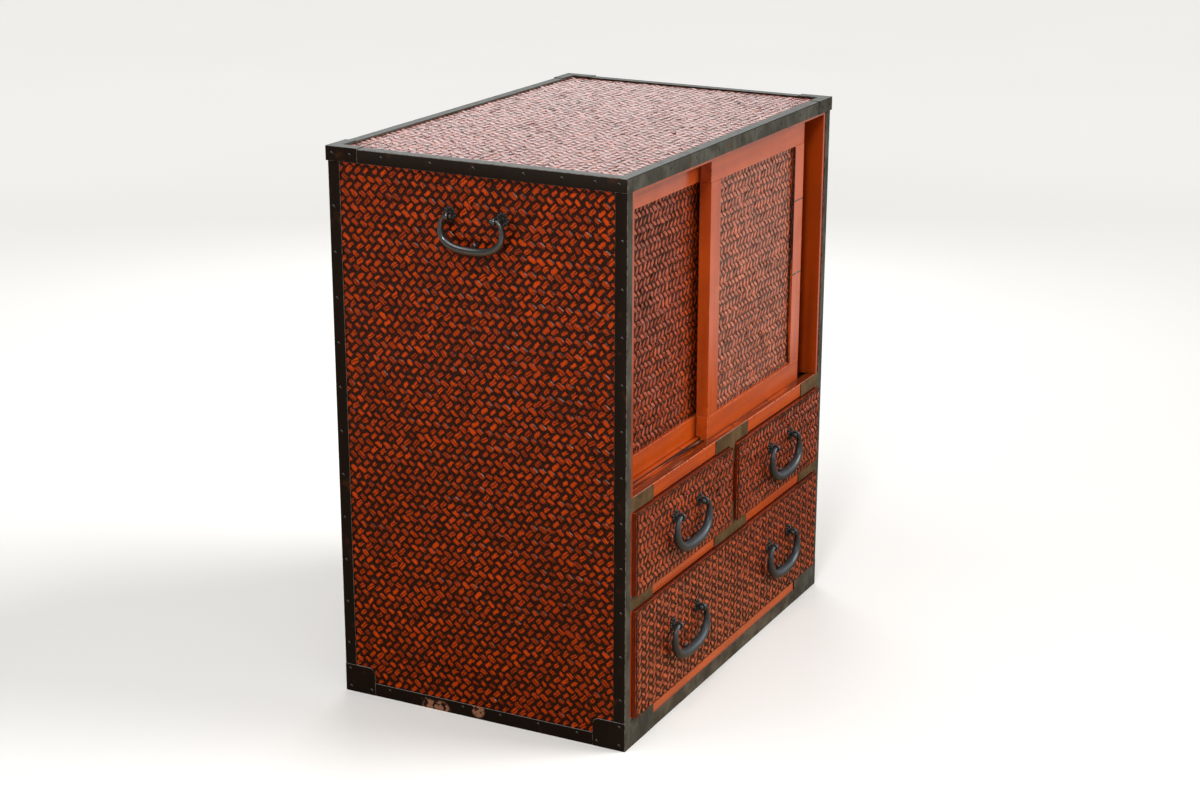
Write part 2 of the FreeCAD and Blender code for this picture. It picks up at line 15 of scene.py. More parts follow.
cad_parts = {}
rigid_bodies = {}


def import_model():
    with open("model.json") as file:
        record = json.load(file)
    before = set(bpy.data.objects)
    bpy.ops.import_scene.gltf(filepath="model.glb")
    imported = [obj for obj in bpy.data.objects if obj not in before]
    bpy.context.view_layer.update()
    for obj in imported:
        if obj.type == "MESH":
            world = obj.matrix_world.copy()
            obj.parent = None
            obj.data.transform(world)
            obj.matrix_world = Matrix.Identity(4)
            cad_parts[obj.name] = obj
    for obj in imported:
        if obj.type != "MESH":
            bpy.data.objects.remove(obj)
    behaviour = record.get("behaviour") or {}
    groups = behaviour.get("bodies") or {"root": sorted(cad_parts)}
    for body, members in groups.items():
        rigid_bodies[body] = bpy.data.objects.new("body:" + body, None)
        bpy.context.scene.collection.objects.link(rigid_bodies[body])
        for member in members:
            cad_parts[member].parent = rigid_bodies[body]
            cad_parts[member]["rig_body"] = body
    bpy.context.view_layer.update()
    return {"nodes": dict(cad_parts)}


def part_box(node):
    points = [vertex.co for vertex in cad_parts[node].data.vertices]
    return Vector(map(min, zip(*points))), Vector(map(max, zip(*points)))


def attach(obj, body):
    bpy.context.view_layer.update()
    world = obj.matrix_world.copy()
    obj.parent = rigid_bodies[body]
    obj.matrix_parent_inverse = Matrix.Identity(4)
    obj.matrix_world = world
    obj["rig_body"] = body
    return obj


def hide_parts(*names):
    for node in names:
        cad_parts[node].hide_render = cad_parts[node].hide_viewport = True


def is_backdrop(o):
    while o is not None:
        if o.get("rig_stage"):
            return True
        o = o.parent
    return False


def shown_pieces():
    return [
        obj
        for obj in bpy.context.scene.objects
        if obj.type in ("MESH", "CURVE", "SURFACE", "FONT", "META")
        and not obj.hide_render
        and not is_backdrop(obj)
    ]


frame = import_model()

# %% [markdown]
# ## Small tools for modelling
# Blender's operators act on whatever is selected, as they do by hand. So each step first
# deselects everything, makes one object active, and chooses vertices by where they are.
# Details are modelled in millimetres, because operators are safest with numbers near one,
# and they shrink to metres when they are put in place.

# %% Select, edit and apply
MM, UP = 0.001, (0, 0, 1)
UPRIGHT_TURN = Matrix.Rotation(math.pi / 2, 4, "X")


def activate(piece):
    """Selects one object alone and makes it the active one."""
    bpy.ops.object.select_all(action="DESELECT")
    piece.select_set(True)
    bpy.context.view_layer.objects.active = piece


def new_object(name, data):
    """Puts data in the scene as an object."""
    made = bpy.data.objects.new(name, data)
    bpy.context.collection.objects.link(made)
    return made


def primitive(operator, name, stretch, place=(0, 0, 0), **settings):
    """Adds a primitive at a place and stretches it to its size."""
    bpy.ops.object.select_all(action="DESELECT")
    operator(location=place, **settings)
    piece = bpy.context.object
    piece.name = piece.data.name = name
    piece.scale = stretch
    bpy.ops.object.transform_apply(location=True, rotation=True, scale=True)
    return piece


def block(name, size, place):
    """A box around a place."""
    return primitive(bpy.ops.mesh.primitive_cube_add, name, size, place, size=1)


def disc(name, vertices, radius, depth):
    """A cylinder that stands on z = 0."""
    return primitive(bpy.ops.mesh.primitive_cylinder_add, name, (1, 1, 1), (0, 0, depth / 2),
                     vertices=vertices, radius=radius, depth=depth)


def edit(piece, *steps):
    """Runs edit-mode steps on the whole of a piece, one after another."""
    activate(piece)
    bpy.ops.object.mode_set(mode="EDIT")
    bpy.ops.mesh.select_mode(type="FACE")
    bpy.ops.mesh.select_all(action="SELECT")
    for step in steps:
        step()
    bpy.ops.object.mode_set(mode="OBJECT")


def choose(piece, test):
    """In edit mode, selects only the faces whose middle and normal pass the test."""
    shape = bmesh.from_edit_mesh(piece.data)
    for face in shape.faces:
        face.select_set(False)
    for face in shape.faces:
        if test(face.calc_center_median(), face.normal):
            face.select_set(True)
    bmesh.update_edit_mesh(piece.data)


def cut(piece, place, normal, **settings):
    """Cuts a piece by a plane."""
    edit(piece, lambda: bpy.ops.mesh.bisect(plane_co=place, plane_no=normal, **settings))


def modify(piece, kind, **settings):
    """Adds a modifier and applies it."""
    activate(piece)
    modifier = piece.modifiers.new(kind.title(), kind)
    for key, value in settings.items():
        setattr(modifier, key, value)
    bpy.ops.object.modifier_apply(modifier=modifier.name)


def join(pieces, name):
    """Joins pieces into the first one."""
    activate(pieces[0])
    for piece in pieces:
        piece.select_set(True)
    if len(pieces) > 1:
        bpy.ops.object.join()
    pieces[0].name = pieces[0].data.name = name
    return pieces[0]


def copy_to(piece, place):
    """A copy with its own mesh, moved by a matrix."""
    twin = new_object(piece.name, piece.data.copy())
    twin.data.transform(place)
    return twin


def smooth(piece, degrees):
    """Shades a piece smooth, except over edges sharper than the angle."""
    activate(piece)
    bpy.ops.object.shade_smooth_by_angle(angle=math.radians(degrees))


def stands_for(piece, finish, slot, *nodes):
    """Puts a finish on a piece that replaces CAD nodes, and lets it ride on their body."""
    piece.data.materials.clear()
    piece.data.materials.append(finish)
    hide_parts(*nodes)
    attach(piece, frame["nodes"][nodes[0]]["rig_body"])


# %% [markdown]
# ## Camera, floor and light
# The camera stands where the photographer stood: to the left of the chest, a little above
# it, with a long lens. The lens axis did not pass through the middle of the picture, which
# a small shift repeats.

# %% Camera and stage
CAMERA_PLACE = Vector((-2.660, -1.366, 1.2934))
CAMERA_TURN, CAMERA_FALL, CAMERA_ROLL = map(math.radians, (-64.537, 18.013, 0.643))
LENS_PIXELS, PICTURE_WIDTH, SENSOR = 2237.72, 1200, 36.0
MIDDLE_OFF = (65.3, 24.1)


def make_camera():
    data = bpy.data.cameras.new("camera")
    camera = new_object("camera", data)
    data.sensor_width = SENSOR
    data.lens = LENS_PIXELS / PICTURE_WIDTH * SENSOR
    data.shift_x = -MIDDLE_OFF[0] / PICTURE_WIDTH
    data.shift_y = MIDDLE_OFF[1] / PICTURE_WIDTH
    back = Vector((math.sin(CAMERA_TURN) * math.cos(CAMERA_FALL),
                   -math.cos(CAMERA_TURN) * math.cos(CAMERA_FALL), math.sin(CAMERA_FALL)))
    level = Vector((math.cos(CAMERA_TURN), math.sin(CAMERA_TURN), 0))
    rise = back.cross(level)
    right = level * math.cos(CAMERA_ROLL) + rise * math.sin(CAMERA_ROLL)
    up = rise * math.cos(CAMERA_ROLL) - level * math.sin(CAMERA_ROLL)
    axes = Matrix((right, up, back)).transposed()
    camera.matrix_world = Matrix.Translation(CAMERA_PLACE) @ axes.to_4x4()
    bpy.context.scene.camera = camera


make_camera()
bpy.context.scene.view_settings.view_transform = "Standard"

# %% [markdown]
# A node tree reads like a sentence when one short function adds each node: the settings are
# the node's own choices, and the inputs are numbers, colours or other nodes' outputs.

# %% Node helpers
def colour(red, green, blue):
    """A colour as seen on a screen, 0 to 255, turned into the light values that nodes use."""
    shares = [value / 255 for value in (red, green, blue)]
    return [s / 12.92 if s < 0.04 else ((s + 0.055) / 1.055) ** 2.4 for s in shares] + [1.0]


def feed(tree, node, inputs):
    """Links a node's inputs to other nodes' outputs, or sets them to constants."""
    for key, value in inputs.items():
        if isinstance(value, bpy.types.NodeSocket):
            tree.links.new(value, node.inputs[key])
        else:
            node.inputs[key].default_value = value


def add(tree, kind, inputs=None, **settings):
    """Adds a node and returns it."""
    made = tree.nodes.new("ShaderNode" + kind)
    for key, value in settings.items():
        setattr(made, key, value)
    feed(tree, made, inputs or {})
    return made


def maths(tree, operation, first, second=0.0, clamp=False):
    return add(tree, "Math", {0: first, 1: second}, operation=operation, use_clamp=clamp).outputs[0]


def times(tree, first, second, clamp=False):
    return maths(tree, "MULTIPLY", first, second, clamp)


def minus(tree, first, second):
    return maths(tree, "SUBTRACT", first, second)


def mix(tree, share, first, second):
    """Mixes two colours."""
    return add(tree, "Mix", {0: share, 6: first, 7: second}, data_type="RGBA").outputs[2]


def between(tree, value, low, high, start=0.0, end=1.0):
    """Spreads a value from low..high over start..end, with soft ends."""
    inputs = {"Value": value, "From Min": low, "From Max": high, "To Min": start, "To Max": end}
    return add(tree, "MapRange", inputs, interpolation_type="SMOOTHSTEP").outputs[0]


def on_object(tree, stretch=None):
    """Object coordinates, which may be stretched along an axis."""
    place = add(tree, "TexCoord").outputs["Object"]
    if stretch is None:
        return place
    return add(tree, "Mapping", {"Vector": place, "Scale": stretch}).outputs[0]


def clouded(tree, place, scale, detail):
    return add(tree, "TexNoise", {"Vector": place, "Scale": scale, "Detail": detail}).outputs[0]


def blotches(tree, scale, detail=3.0):
    """Noise in object coordinates."""
    return clouded(tree, on_object(tree), scale, detail)


def marked(tree, name):
    """The value that an attribute of the mesh has here."""
    return add(tree, "Attribute", attribute_name=name).outputs["Fac"]


def new_group(name, build, inputs):
    """A node group with named inputs and their starting values. Build fills it, and gives its looks."""
    tree = bpy.data.node_groups.new(name, "ShaderNodeTree")
    kinds = {float: "NodeSocketFloat", list: "NodeSocketColor", tuple: "NodeSocketVector"}
    for key, value in inputs.items():
        socket = tree.interface.new_socket(key, in_out="INPUT", socket_type=kinds[type(value)])
        socket.default_value = value
    looks = build(tree, tree.nodes.new("NodeGroupInput").outputs)
    for key in looks:
        kind = kinds[list if key == "Color" else float]
        tree.interface.new_socket(key, in_out="OUTPUT", socket_type=kind)
    feed(tree, tree.nodes.new("NodeGroupOutput"), looks)
    return tree


def use(tree, group, **values):
    """Places a group in a material with the material's own values."""
    placed = tree.nodes.new("ShaderNodeGroup")
    placed.node_tree = group
    feed(tree, placed, values)
    return placed.outputs


def material(name, constants=None):
    """A material with one Principled BSDF, with constants set on its sockets."""
    made = bpy.data.materials.new(name)
    made.use_nodes = True
    shader = made.node_tree.nodes["Principled BSDF"]
    feed(made.node_tree, shader, constants or {})
    return made, made.node_tree, shader


def connect(tree, shader, looks, depth):
    """Feeds a group's outputs to the shader, and its height to a bump node."""
    bump = add(tree, "Bump", {"Height": looks["Height"], "Distance": depth, "Strength": 1.0})
    feed(tree, shader, {"Base Color": looks["Color"], "Roughness": looks["Roughness"],
                        "Normal": bump.outputs[0]})


# %% [markdown]
# The floor is plain and pale to the camera. What it throws back at the chest is the tan of a
# rug that fades to pale ground, and darker ground to the right: the glossy front mirrors it.
# The world shows white to the camera and gives a calmer light to the object. A low wide key
# light comes from the right of the doors, and three soft panels stand for the sky over the
# top, the window that glints on the bamboo, and the wall behind.

# %% Floor, world and lamp
FLOOR_SIZE = 60.0
WORLD_LIGHT, WORLD_SHINE = 0.28, 0.25
KEY_FROM, KEY_SPREAD, KEY_STRENGTH = Vector((0.36, -0.62, 0.54)), 34, 2.5
PANELS = {"sky": ((-1.1, 0.3, 2.6), 1.8, 24.0), "window": ((-2.40, -0.80, 2.10), 0.45, 32.0),
          "wall": ((1.7, 1.0, 1.45), 1.3, 14.0)}
RUG_EDGE, SHADE_EDGE, HORIZON = (1.25, 2.0), (0.1, 0.6), (0.8, 4.5)


def make_floor():
    floor = primitive(bpy.ops.mesh.primitive_plane_add, "floor", (1, 1, 1), size=FLOOR_SIZE)
    finish, tree, shader = material("floor", {"Roughness": 0.9, "Emission Strength": 1.0})
    mixed = mix(tree, blotches(tree, 1.5, 4.0), colour(248, 246, 241), colour(252, 251, 248))
    place = on_object(tree)
    distance = add(tree, "VectorMath", {0: place}, operation="LENGTH").outputs["Value"]
    across = add(tree, "SeparateXYZ", {0: place}).outputs["X"]
    near = mix(tree, between(tree, across, *SHADE_EDGE), colour(196, 166, 128), colour(96, 74, 54))
    ground = mix(tree, between(tree, distance, *RUG_EDGE), near, colour(240, 232, 222))
    seen = add(tree, "LightPath").outputs["Is Camera Ray"]
    pale = times(tree, seen, between(tree, distance, *HORIZON))
    feed(tree, shader, {"Base Color": mix(tree, seen, ground, mixed),
                        "Emission Color": mix(tree, pale, colour(0, 0, 0), colour(122, 122, 121))})
    floor.data.materials.append(finish)
    floor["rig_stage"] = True


def make_world():
    world = bpy.data.worlds.new("world")
    bpy.context.scene.world = world
    world.use_nodes = True
    tree = world.node_tree
    tree.nodes.clear()
    path = add(tree, "LightPath").outputs
    strength = between(tree, path["Is Glossy Ray"], 0.0, 1.0, WORLD_LIGHT, WORLD_SHINE)
    strength = maths(tree, "MAXIMUM", strength, path["Is Camera Ray"])
    light = add(tree, "Background", {"Color": (1, 1, 1, 1), "Strength": strength}).outputs[0]
    add(tree, "OutputWorld", {"Surface": light})


def make_lamp(name, kind, place, **settings):
    """A lamp that looks at the middle of the chest."""
    data = bpy.data.lights.new(name, kind)
    for key, value in settings.items():
        setattr(data, key, value)
    lamp = new_object(name, data)
    lamp.location = place
    aim = Vector((0, 0, 0.4)) - place
    lamp.rotation_euler = aim.to_track_quat("-Z", "Y").to_euler()


make_floor()
make_world()
make_lamp("key", "SUN", KEY_FROM * 4, energy=KEY_STRENGTH, angle=math.radians(KEY_SPREAD))
for name, (place, size, watts) in PANELS.items():
    make_lamp(name, "AREA", Vector(place), energy=watts, size=size)

# %% [markdown]
# ## The lacquered wood
# The frames are coated with orange-red lacquer. It is glossy, so at a flat angle it turns
# salmon by itself: that is the shader's reflection and needs no paint. What the nodes add is
# how the coat has aged: cloudy patches, brush lines along the wood, dark rub marks, and
# edges where the colour has gone thin. An attribute named arris marks the rounded edges.

# %% Lacquer group
def build_lacquer(tree, given):
    clouds = between(tree, blotches(tree, 9.0, 4.0), 0.32, 0.72)
    lines_at = on_object(tree, given["Grain"])
    lines = clouded(tree, lines_at, 60.0, 5.0)
    body = mix(tree, between(tree, clouds, 0.0, 1.0, 0.0, 0.35), given["Coat"], given["Deep"])
    body = mix(tree, between(tree, lines, 0.42, 0.75, 0.0, 0.45), body, given["Deep"])
    scuffs = between(tree, blotches(tree, 55.0, 6.0), 0.60, 0.70)
    stains = times(tree, scuffs, between(tree, blotches(tree, 6.0), 0.45, 0.65))
    stains = times(tree, stains, given["Grime"], clamp=True)
    body = mix(tree, stains, body, colour(38, 18, 14))
    arris = marked(tree, "arris")
    for scale, detail, low, high, tone in ((120.0, 5.0, 0.35, 0.60, given["Edge"]),
                                           (210.0, 3.0, 0.62, 0.68, colour(60, 30, 22))):
        worn = times(tree, between(tree, blotches(tree, scale, detail), low, high), arris)
        body = mix(tree, times(tree, worn, given["Wear"]), body, tone)
    # This attribute darkens the sill's dirty groove and lip, and paints shade on the right stile's inner
    # side; the two scores are dark cuts.
    soil_and_shade, streaks = marked(tree, "soil_and_shade"), clouded(tree, lines_at, 140.0, 6.0)
    for low, high, tone in ((0.36, 0.5, colour(50, 24, 15)), (0.62, 0.68, colour(148, 100, 76))):
        body = mix(tree, times(tree, soil_and_shade, between(tree, streaks, low, high)), body, tone)
    height = maths(tree, "ADD", times(tree, lines, 0.6), times(tree, clouds, 0.5))
    return {"Color": body, "Roughness": between(tree, clouds, 0.0, 1.0, 0.12, 0.26), "Height": height}


lacquer_group = new_group("lacquer", build_lacquer, {
    "Coat": colour(196, 80, 20), "Deep": colour(136, 44, 8), "Edge": colour(218, 124, 84),
    "Grain": (1.0, 1.0, 1.0), "Wear": 0.5, "Grime": 0.3})
ACROSS, UPRIGHT = (0.06, 1.0, 1.0), (1.0, 1.0, 0.06)


def lacquer(name, grain, **values):
    finish, tree, shader = material(name, {"Specular IOR Level": 0.75})
    connect(tree, shader, use(tree, lacquer_group, Grain=grain, **values), 0.0004)
    return finish


rail_lacquer = lacquer("lacquer_rails", ACROSS)
stile_lacquer = lacquer("lacquer_stiles", UPRIGHT)
sill_lacquer = lacquer("lacquer_sill", ACROSS, Wear=0.9, Grime=0.9)
drawer_lacquer = lacquer("lacquer_drawers", ACROSS, Coat=colour(104, 34, 14), Deep=colour(54, 18, 10),
                         Edge=colour(214, 90, 40), Wear=1.0, Grime=0.6)
# A darker copy of the frames' lacquer: the darkness is painted shade of the case's inner faces.
shaded_case_lacquer = lacquer("lacquer_case_shaded", UPRIGHT, Coat=colour(168, 64, 14), Deep=colour(104, 34, 8))

# %% [markdown]
# ## Bare wood
# Inside, the drawers and shelves are bare softwood that has gone brown. Growth rings cut
# lengthways show as long bands, so a wave texture is pulled out along the grain and bent
# by noise, with fine fibres over it.

# %% Bare wood
def build_wood(tree, given):
    along = on_object(tree, given["Grain"])
    rings = add(tree, "TexWave", {"Vector": along, "Scale": 22.0, "Distortion": 7.0, "Detail": 3.0,
                                  "Detail Scale": 1.2}, bands_direction="DIAGONAL").outputs["Fac"]
    fibres = clouded(tree, along, 320.0, 4.0)
    share = maths(tree, "ADD", times(tree, rings, 0.7), times(tree, fibres, 0.45))
    body = mix(tree, share, given["Early"], given["Late"])
    body = mix(tree, between(tree, blotches(tree, 5.0), 0.4, 0.75, 0.0, 0.5), body, colour(84, 58, 40))
    return {"Color": body, "Roughness": between(tree, fibres, 0.0, 1.0, 0.55, 0.8), "Height": share}


wood_group = new_group("bare wood", build_wood, {
    "Early": colour(176, 138, 98), "Late": colour(128, 90, 58), "Grain": (1.0, 1.0, 1.0)})


def bare_wood(name, grain, **values):
    finish, tree, shader = material(name)
    connect(tree, shader, use(tree, wood_group, Grain=grain, **values), 0.0003)
    return finish


LONG_X, LONG_Y, LONG_Z = (0.05, 1.0, 1.0), (1.0, 0.05, 1.0), (1.0, 1.0, 0.05)
wood_x = bare_wood("wood_along_x", LONG_X)
wood_y = bare_wood("wood_along_y", LONG_Y)
wood_z = bare_wood("wood_along_z", LONG_Z)
back_wood = bare_wood("wood_back", LONG_Z, Early=colour(104, 62, 40), Late=colour(66, 36, 24))

# %% [markdown]
# ## The iron
# The straps are blackened wrought iron. The black has stayed on the sides. The front is painted a brown
# grey, partly iron worn by rubbing and partly painted sheen, the reflection a front shows at a flat
# angle. The top is painted a light grey, partly dust and hands and partly painted sheen of the bright
# sky. So the nodes look at which way a face points. Hammer marks run across the front strap as faint
# bands.

# %% Iron group
def build_iron(tree, given):
    patches = between(tree, blotches(tree, 26.0, 5.0), 0.35, 0.68)
    dents = clouded(tree, on_object(tree, given["Hammer"]), 70.0, 3.0)
    # Faces that point forward take a paler brown grey: partly iron worn by rubbing, partly painted
    # sheen.
    rubbed_and_sheen = times(tree, given["Front"], between(tree, patches, 0.0, 1.0, 0.55, 0.95))
    body = mix(tree, rubbed_and_sheen, given["Black"], given["Rubbed"])
    # Faces that point up take a light grey: partly dust, partly painted sheen of the bright sky.
    dusty_and_sheen = times(tree, given["Up"], between(tree, dents, 0.3, 0.7, 0.6, 1.0))
    body = mix(tree, dusty_and_sheen, body, given["DustAndSheen"])
    body = mix(tree, between(tree, dents, 0.35, 0.7, 0.0, 0.3), body, given["Black"])
    rusty = times(tree, between(tree, blotches(tree, 48.0, 6.0), 0.58, 0.72), given["Rust"])
    body = mix(tree, rusty, body, colour(92, 52, 34))
    worn = times(tree, marked(tree, "arris"), between(tree, blotches(tree, 160.0, 4.0), 0.38, 0.62))
    body = mix(tree, times(tree, worn, 0.7), body, colour(128, 122, 114))
    fold = between(tree, times(tree, given["Front"], given["Up"]), 0.1, 0.3, 0.0, 0.85)
    body = mix(tree, fold, body, given["Black"])
    bare = between(tree, blotches(tree, 170.0, 5.0), 0.42, 0.50)
    body = mix(tree, times(tree, bare, given["Chips"]), body, colour(150, 106, 84))
    rough = minus(tree, between(tree, patches, 0.0, 1.0, 0.40, 0.58), given["Smooth"])
    height = maths(tree, "ADD", dents, times(tree, blotches(tree, 900.0, 2.0), 0.12))
    return {"Color": body, "Roughness": rough, "Height": height}


iron_group = new_group("forged iron", build_iron, {
    "Black": colour(30, 23, 19), "Rubbed": colour(98, 92, 80), "DustAndSheen": colour(140, 142, 140),
    "Front": 0.0, "Up": 0.0, "Rust": 0.25, "Smooth": 0.0, "Chips": 0.0, "Hammer": (1.0, 1.0, 1.0)})

# %% [markdown]
# Each iron finish is the same group with its own tones. On the foot of the left side the
# black has flaked off in three spots, each given by its middle and its reach.

# %% Iron finishes
FLAKED = (((-0.325, 0.090, 0.001), 0.014), ((-0.325, 0.072, 0.002), 0.014),
          ((-0.325, 0.016, 0.012), 0.011))


def chips(tree, spots):
    """Nearness to the nearest of the spots, 0 to 1."""
    place = on_object(tree)
    total = 0.0
    for spot, reach in spots:
        away = add(tree, "VectorMath", {0: place, 1: spot}, operation="DISTANCE").outputs["Value"]
        total = maths(tree, "MAXIMUM", between(tree, away, reach * 0.7, reach, 1.0, 0.0), total)
    return total


def iron(name, depth, front=1.0, up=1.0, metal=0.0, shine=0.06, coat=0.0, gloss=0.2, spots=(),
         **values):
    """Front and up say how far the faces that point forward and up differ from the black; their paler
    tones are partly wear and dust, partly painted sheen.
    """
    finish, tree, shader = material(name, {"Metallic": metal, "Specular IOR Level": shine,
                                           "Coat Weight": coat, "Coat Roughness": gloss})
    if spots:
        values["Chips"] = chips(tree, spots)
    normal = add(tree, "NewGeometry").outputs["Normal"]
    facing = add(tree, "SeparateXYZ", {0: normal}).outputs
    forward = times(tree, facing["Y"], -front, clamp=True)
    upward = times(tree, facing["Z"], up, clamp=True)
    connect(tree, shader, use(tree, iron_group, Front=forward, Up=upward, **values), depth)
    return finish


strap_iron = iron("iron_straps", 0.0008, shine=0.0, Hammer=(1.4, 1.4, 0.6),
                  Rubbed=colour(92, 92, 84))
foot_iron = iron("iron_feet", 0.0005, shine=0.0, spots=FLAKED)
plate_iron = iron("iron_plates", 0.0004, Rubbed=colour(106, 84, 56))
washer_iron = iron("iron_washers", 0.0004, front=0.2, up=0.2, metal=0.5, shine=0.3,
                   Black=colour(34, 33, 32))
# The handles' bluish tones on their front and top faces are partly painted sheen.
HANDLE_TONES = {"Black": colour(60, 62, 62), "Rubbed": colour(84, 92, 98),
                "DustAndSheen": colour(112, 124, 134)}
side_handle_iron = iron("iron_side_handles", 0.0004, front=0.2, up=0.2, metal=0.85, shine=0.5,
                        coat=1.0, gloss=0.12, Smooth=0.16, **HANDLE_TONES)
drawer_handle_iron = iron("iron_drawer_handles", 0.0004, front=0.3, up=0.4, metal=0.6, shine=0.3,
                          coat=0.06, gloss=0.3, **HANDLE_TONES)

# %% [markdown]
# ## Soft edges on the CAD solids
# A CAD edge is perfectly sharp and catches no light. A merged copy of the solid gets a narrow bevel, as
# a plane or a file would leave. Hardened normals keep the faces beside it flat in the light. The faces
# of the bevel are marked with the arris attribute, so the finishes can wear them through. A second
# attribute marks where the sill is dirty and scored, and the right stile's inner side, which the lacquer
# paints dark as shade.

# %% Bevelled copies
WOOD_EASE, IRON_EASE, PLATE_EASE = 0.0008, 0.0004, 0.0003
SCORES, SCORE_DEPTH = ((0.6124, 0.0011), (0.5048, 0.0015)), 3.0
SOILED_BACK, SOILED_LIP, SKIN_DEEP = 0.026, 0.006, 0.001
sill_low, sill_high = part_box("sill_rail")


def mark(piece, name, test):
    """Gives each face a value, which the test works out from its middle and its normal."""
    layer = piece.data.attributes.new(name, "FLOAT", "FACE")
    values = [float(test(face.center, face.normal)) for face in piece.data.polygons]
    layer.data.foreach_set("value", np.array(values, np.float32))


def slopes(middle, normal):
    """True for a bevel, which points along none of the three axes."""
    return max(abs(value) for value in normal) < 0.995


def soil_sill(middle, normal):
    """The empty front groove and its lip are worn and dirty, in front of the doors' ridge."""
    if not sill_low.y + SKIN_DEEP < middle.y < sill_low.y + SOILED_BACK:
        return 0.0
    if normal.z > 0.9:
        return 1.0 if middle.z < sill_high.z - SKIN_DEEP else 0.75
    return 0.9 if middle.z > sill_high.z - SOILED_LIP else 0.0


def shade_and_scores_stile(middle, normal):
    """The right stile's inner side gets painted shade, and two scores cross its face."""
    if middle.x < 0.2:
        return 0.0
    scored = any(abs(middle.z - level) < half for level, half in SCORES)
    return 1.0 if normal.x < -0.9 else scored * SCORE_DEPTH


def score(piece):
    """Cuts the faces along both borders of each score, so that the soil can stop there."""
    for level, half in SCORES:
        for border in (level - half, level + half):
            cut(piece, (0, 0, border), UP)


soil_and_shade_marks = {"sill_rail": soil_sill, "right_door_stiles": shade_and_scores_stile}


def softened(node, width):
    """A merged, bevelled copy of a CAD node."""
    piece = new_object(node + "_eased", frame["nodes"][node].data.copy())
    edit(piece, bpy.ops.mesh.customdata_custom_splitnormals_clear,
         lambda: bpy.ops.mesh.remove_doubles(threshold=1e-5),
         lambda: bpy.ops.mesh.dissolve_limited(angle_limit=math.radians(0.5)))
    smooth(piece, 30)
    modify(piece, "BEVEL", width=width, segments=2, limit_method="ANGLE",
           angle_limit=math.radians(30), use_clamp_overlap=True, harden_normals=True)
    if node == "right_door_stiles":
        score(piece)
    if node in soil_and_shade_marks:
        mark(piece, "soil_and_shade", soil_and_shade_marks[node])
    mark(piece, "arris", slopes)
    return piece


eased_wood = {
    "left_door_rails": rail_lacquer, "left_door_stiles": stile_lacquer,
    "right_door_rails": rail_lacquer, "right_door_stiles": stile_lacquer,
    "sill_rail": sill_lacquer, "mid_rail": rail_lacquer, "bottom_rail": rail_lacquer,
    "drawer_partition": shaded_case_lacquer, "left_drawer_front": drawer_lacquer,
    "right_drawer_front": drawer_lacquer, "lower_drawer_front": drawer_lacquer,
}
for node, finish in eased_wood.items():
    stands_for(softened(node, WOOD_EASE), finish, "lacquered_wood", node)
print("eased wooden pieces:", len(eased_wood))

# %% [markdown]
# ## Nails in the ironwork
# The straps are held by small nails with low round heads. One head is a sphere pressed flat,
# with its lower half cut away; every other head is a copy of it, turned to face out.

# %% One nail head
HEAD_RADIUS, HEAD_RISE = 2.1, 0.9


def make_nail_head():
    head = primitive(bpy.ops.mesh.primitive_uv_sphere_add, "nail_head",
                     (HEAD_RADIUS, HEAD_RADIUS, HEAD_RISE), segments=12, ring_count=8, radius=1)
    cut(head, (0, 0, -0.1), UP, use_fill=True, clear_inner=True)
    smooth(head, 60)
    return head


def facing(direction, place):
    """The matrix that turns a detail made in millimetres, facing +Z, to a direction and place."""
    turn = Vector(direction).to_track_quat("Z", "Y").to_matrix().to_4x4()
    return Matrix.Translation(place) @ turn @ Matrix.Scale(MM, 4)


def nailed(piece, direction, places):
    """Joins nail heads to an iron piece."""
    heads = [copy_to(nail_head, facing(direction, place)) for place in places]
    return join([piece] + heads, piece.name)


nail_head = make_nail_head()

# %% [markdown]
# The nails follow the real spacing: about every 60 mm up the corners, and closer to the
# near end along the top edge, where the strap was bent round the corner.

# %% Straps, caps, shoes and plates
case_low, case_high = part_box("upright_straps")
band_low, band_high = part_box("top_straps")
NAIL_STEP, NAIL_INSET, NAIL_TOP = 0.0602, 0.0066, 0.6728
BAND_Z, FRONT_START = 0.742, -0.3
upright_rows = [NAIL_TOP - NAIL_STEP * row for row in range(11)]
top_row = [0.012, 0.044, 0.089, 0.142, 0.212, 0.274, 0.345, 0.402]
front_row = [0.031, 0.094, 0.168, 0.236, 0.307, 0.371, 0.442, 0.509, 0.571]


def sides(places):
    """The same places on the left and the right side, as one dictionary by direction."""
    return {(way, 0, 0): [(way * out, y, z) for out, y, z in places] for way in (-1, 1)}


def iron_piece(node, ease, finish, groups):
    """A softened iron node with nail heads, whose places are grouped by direction."""
    piece = softened(node, ease)
    for direction, places in groups.items():
        piece = nailed(piece, direction, places)
    stands_for(piece, finish, "strap_iron", node)


upright_nails = sides([(case_high.x, y, z) for z in upright_rows
                       for y in (case_low.y + NAIL_INSET, case_high.y - NAIL_INSET)])
iron_piece("upright_straps", IRON_EASE, strap_iron, upright_nails)

top_nails = sides([(band_high.x, band_low.y + step, BAND_Z) for step in top_row])
for way, edge in ((-1, band_low.y), (1, band_high.y)):
    top_nails[(0, way, 0)] = [(FRONT_START + step, edge, BAND_Z) for step in front_row]
iron_piece("top_straps", IRON_EASE, strap_iron, top_nails)

